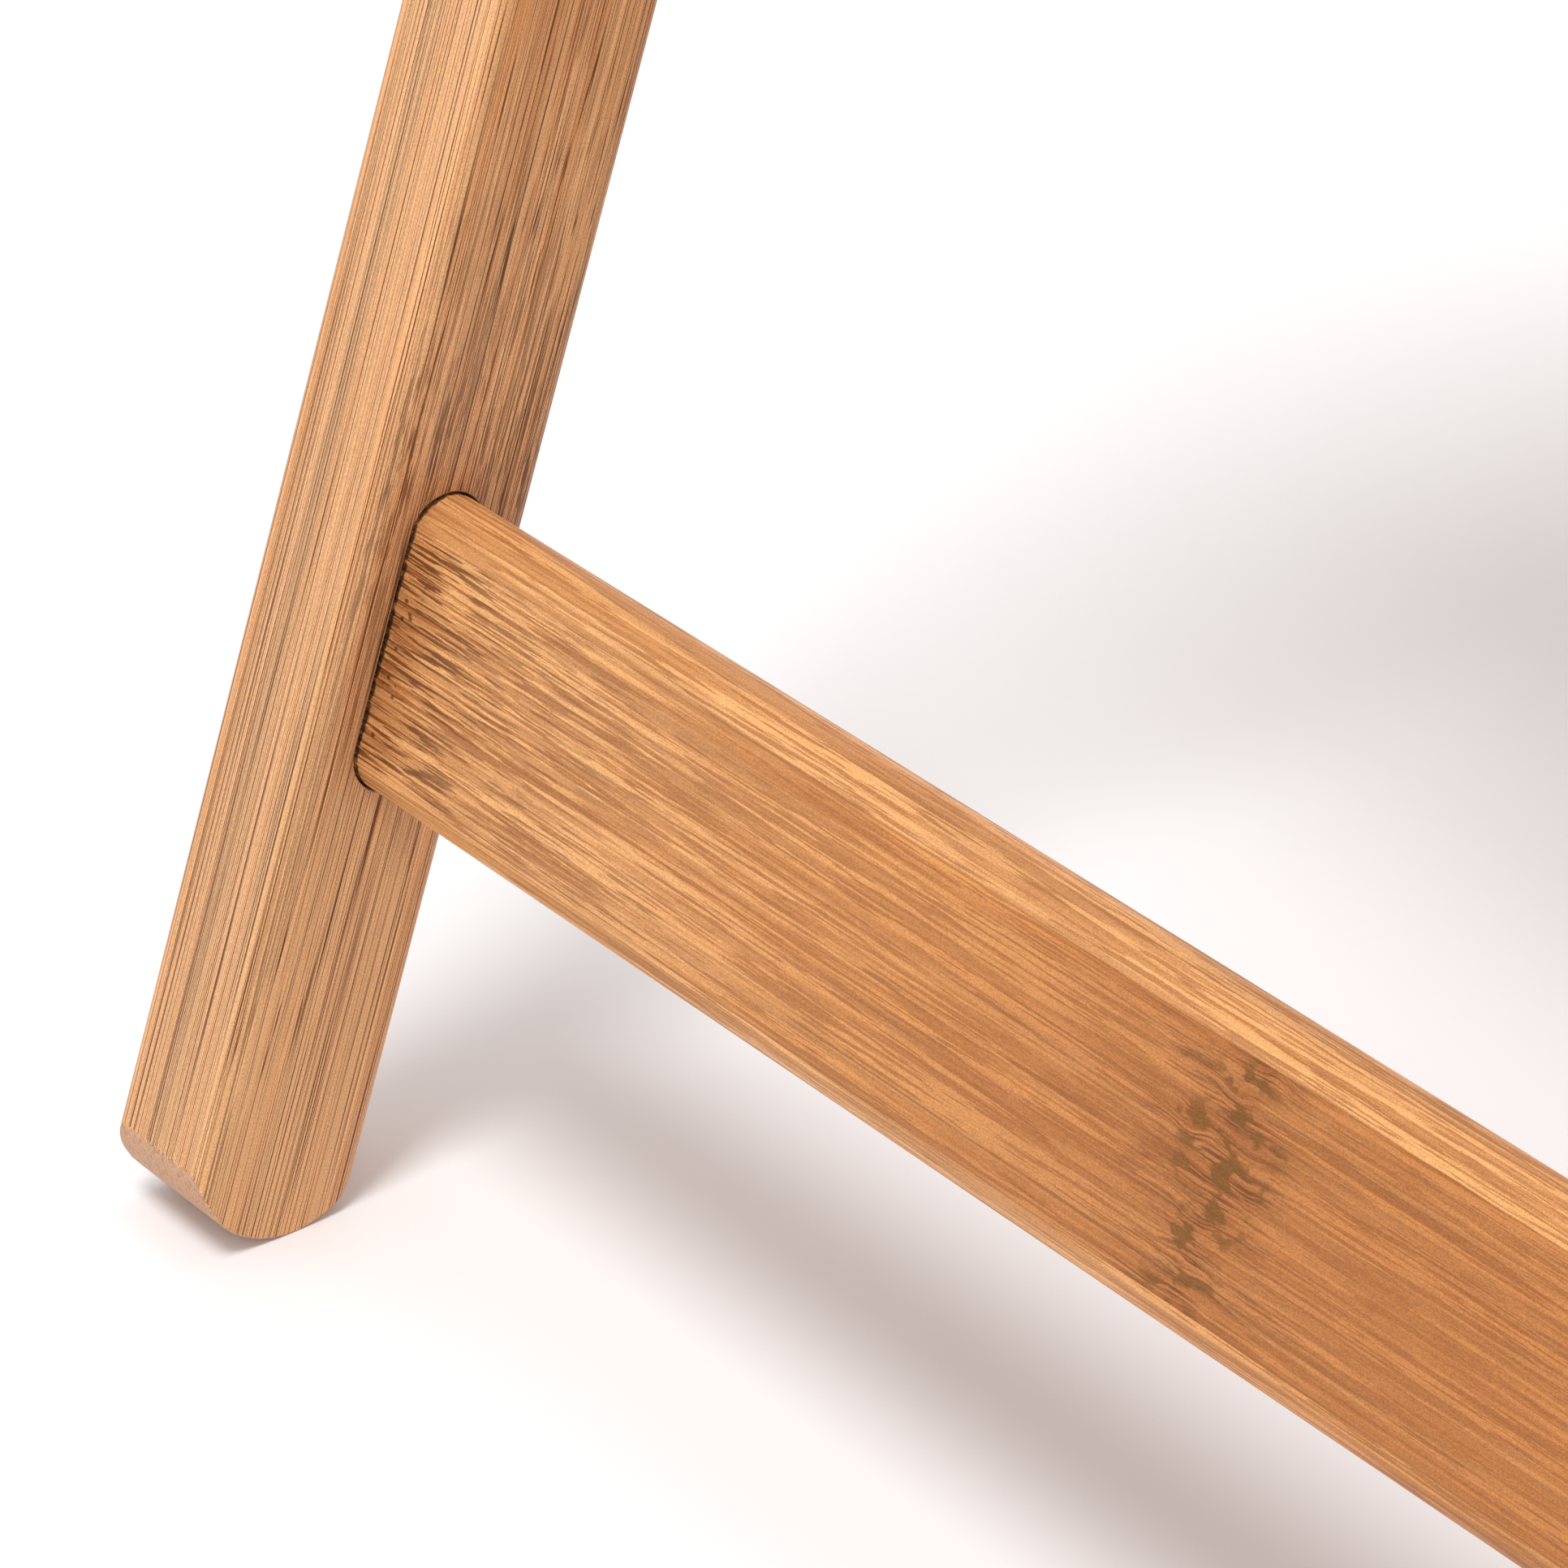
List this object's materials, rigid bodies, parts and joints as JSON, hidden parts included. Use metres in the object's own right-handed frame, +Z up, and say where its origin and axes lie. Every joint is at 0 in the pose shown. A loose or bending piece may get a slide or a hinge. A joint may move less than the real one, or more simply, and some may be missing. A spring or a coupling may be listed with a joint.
{
  "type": "ladder shelf",
  "caption": "Folding free-standing ladder shelf: slatted shelves between a leaning and an upright bamboo ladder frame.",
  "frame": {"origin": "on the floor, at the centre of the floor area", "axes": "+X to the right seen from the front, +Y to the back, +Z up"},
  "size_m": [0.5064, 0.4116, 1.066],
  "materials": {
    "bamboo_leg": "fine-grained laminated bamboo, satin",
    "bamboo_rail": "flat-grained bamboo with nodes, satin",
    "bamboo_slat": "flat-grained bamboo, satin",
    "steel": "zinc-plated, satin"
  },
  "bodies": {
    "front_frame": {"front_bottom_rail": "bamboo_rail", "front_hinge_screws": "steel", "front_leg_left": "bamboo_leg", "front_leg_right": "bamboo_leg", "front_rail_screws": "steel", "front_rung_1": "bamboo_rail", "front_rung_2": "bamboo_rail", "front_rung_3": "bamboo_rail", "front_top_rail": "bamboo_rail", "hinge_front_leaf_left": "steel", "hinge_front_leaf_right": "steel", "hinge_pin_left": "steel", "hinge_pin_right": "steel", "pivot_bolts": "steel", "pivot_nuts": "steel", "pivot_washers": "steel"},
    "rear_frame": {"hinge_rear_leaf_left": "steel", "hinge_rear_leaf_right": "steel", "rear_bottom_rail": "bamboo_rail", "rear_hinge_screws": "steel", "rear_leg_left": "bamboo_leg", "rear_leg_right": "bamboo_leg", "rear_rail_screws": "steel", "rear_shelf_rail_1": "bamboo_rail", "rear_shelf_rail_2": "bamboo_rail", "rear_shelf_rail_3": "bamboo_rail", "rear_top_rail": "bamboo_rail"},
    "shelf_1": {"shelf_1_bearer_left": "bamboo_rail", "shelf_1_bearer_right": "bamboo_rail", "shelf_1_slat_1": "bamboo_slat", "shelf_1_slat_2": "bamboo_slat", "shelf_1_slat_3": "bamboo_slat", "shelf_1_slat_4": "bamboo_slat", "shelf_1_slat_5": "bamboo_slat", "shelf_1_slat_6": "bamboo_slat", "shelf_1_slat_7": "bamboo_slat", "shelf_1_slat_8": "bamboo_slat", "shelf_1_slat_screws": "steel"},
    "shelf_2": {"shelf_2_bearer_left": "bamboo_rail", "shelf_2_bearer_right": "bamboo_rail", "shelf_2_slat_1": "bamboo_slat", "shelf_2_slat_2": "bamboo_slat", "shelf_2_slat_3": "bamboo_slat", "shelf_2_slat_4": "bamboo_slat", "shelf_2_slat_5": "bamboo_slat", "shelf_2_slat_screws": "steel"},
    "shelf_3": {"shelf_3_bearer_left": "bamboo_rail", "shelf_3_bearer_right": "bamboo_rail", "shelf_3_slat_1": "bamboo_slat", "shelf_3_slat_2": "bamboo_slat", "shelf_3_slat_3": "bamboo_slat", "shelf_3_slat_screws": "steel"}
  },
  "joints": [
    {"name": "frame_fold", "type": "hinge", "parent": "front_frame", "child": "rear_frame", "pos_m": [0, 0.17654, 1.04], "axis": [-1, 0, 0], "range_deg": [0, 18.9]},
    {"name": "shelf_1_lift", "type": "hinge", "parent": "front_frame", "child": "shelf_1", "pos_m": [0, -0.09063, 0.31], "axis": [1, 0, 0], "range_deg": [0, 71.1]},
    {"name": "shelf_2_lift", "type": "hinge", "parent": "front_frame", "child": "shelf_2", "pos_m": [0, 0.02236, 0.64], "axis": [1, 0, 0], "range_deg": [0, 71.1]},
    {"name": "shelf_3_lift", "type": "hinge", "parent": "front_frame", "child": "shelf_3", "pos_m": [0, 0.10624, 0.885], "axis": [1, 0, 0], "range_deg": [0, 71.1]}
  ],
  "couplings": [
    {"joint": "shelf_1_lift", "follows": "frame_fold", "ratio": 3.7619},
    {"joint": "shelf_2_lift", "follows": "frame_fold", "ratio": 3.7619},
    {"joint": "shelf_3_lift", "follows": "frame_fold", "ratio": 3.7619}
  ]
}
